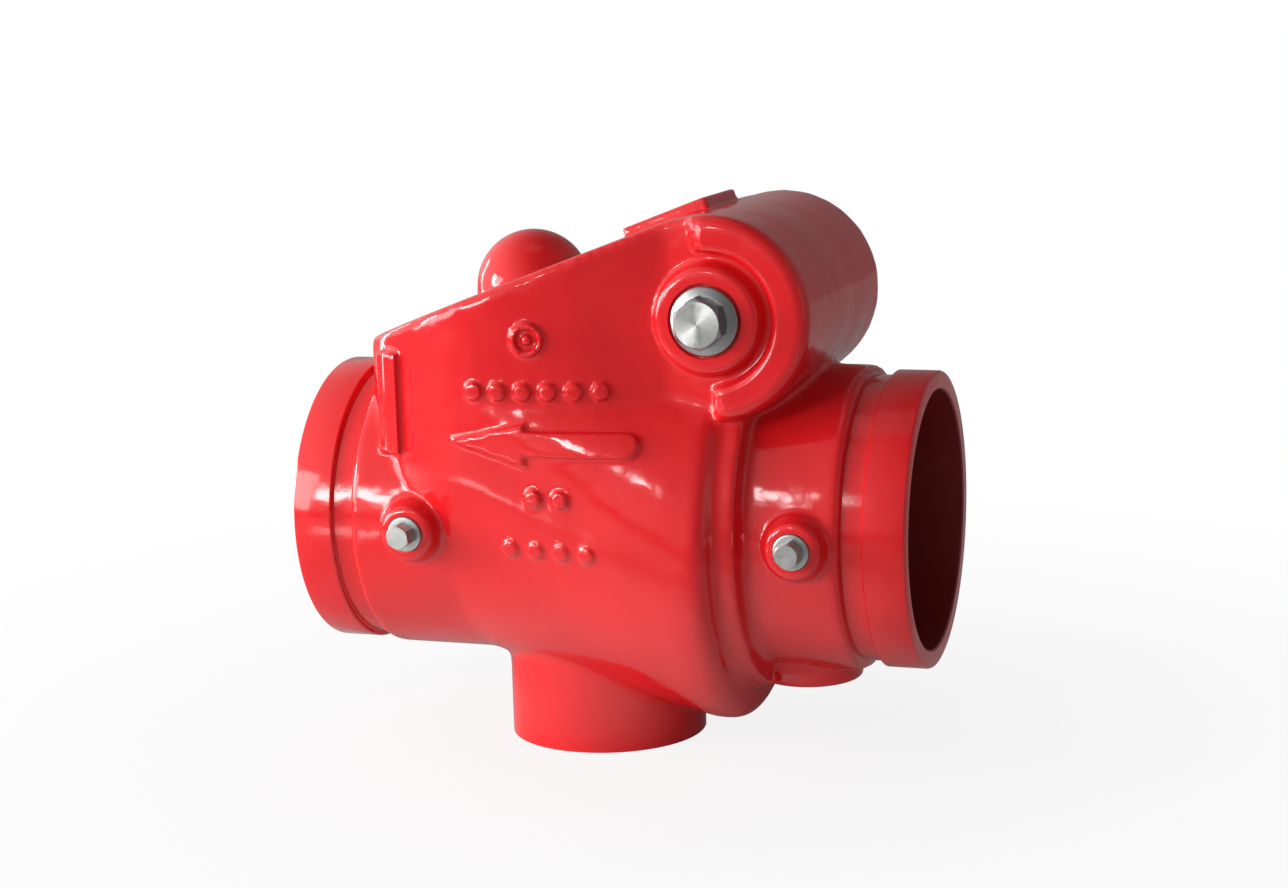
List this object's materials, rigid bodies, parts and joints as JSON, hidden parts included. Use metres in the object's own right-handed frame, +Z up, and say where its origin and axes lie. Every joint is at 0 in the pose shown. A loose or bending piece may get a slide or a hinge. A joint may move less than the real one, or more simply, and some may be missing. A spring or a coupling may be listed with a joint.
{
  "type": "non-return valve",
  "caption": "Grooved-end swing non-return valve with a spring-loaded clapper, a hinge barrel, a threaded drain outlet and plugged ports.",
  "frame": {"origin": "centre of the inlet pipe end's face", "axes": "+X out of the inlet along the pipe (water runs towards -X), +Z up, away from the drain outlet"},
  "size_m": [0.2445, 0.15, 0.2159],
  "materials": {
    "red_coating": "glossy coating over a casting",
    "cast_steel": "cast, satin",
    "stainless": "turned, bright",
    "plated_steel": "zinc plated, bright",
    "spring_wire": "drawn wire, satin",
    "bronze": "machined",
    "rubber": "matt moulded rubber"
  },
  "bodies": {
    "body": {"valve_body": "red_coating", "seat_ring": "bronze", "seat_ring_o_ring": "rubber", "hinge_shaft": "stainless", "front_shaft_bushing": "bronze", "rear_shaft_bushing": "bronze", "front_thrust_washer": "bronze", "rear_thrust_washer": "bronze", "torsion_spring": "spring_wire", "shaft_plug": "stainless", "shaft_plug_washer": "bronze", "inlet_port_plug": "plated_steel", "outlet_port_plug": "plated_steel"},
    "clapper": {"clapper": "cast_steel", "clapper_seal": "rubber", "seal_backing_ring": "stainless", "seal_retainer": "stainless", "seal_washer": "stainless", "bolt_seal": "rubber", "clapper_bolt": "stainless", "lock_washer": "stainless", "bolt_nut": "stainless"}
  },
  "joints": [
    {"name": "clapper_swing", "type": "hinge", "parent": "body", "child": "clapper", "pos_m": [-0.0735, 0, 0.083], "axis": [0, 1, 0], "range_deg": [0, 70], "stiffness_Nm_per_rad": 0.45, "springref_deg": -28.65, "deforming": ["torsion_spring"]}
  ]
}
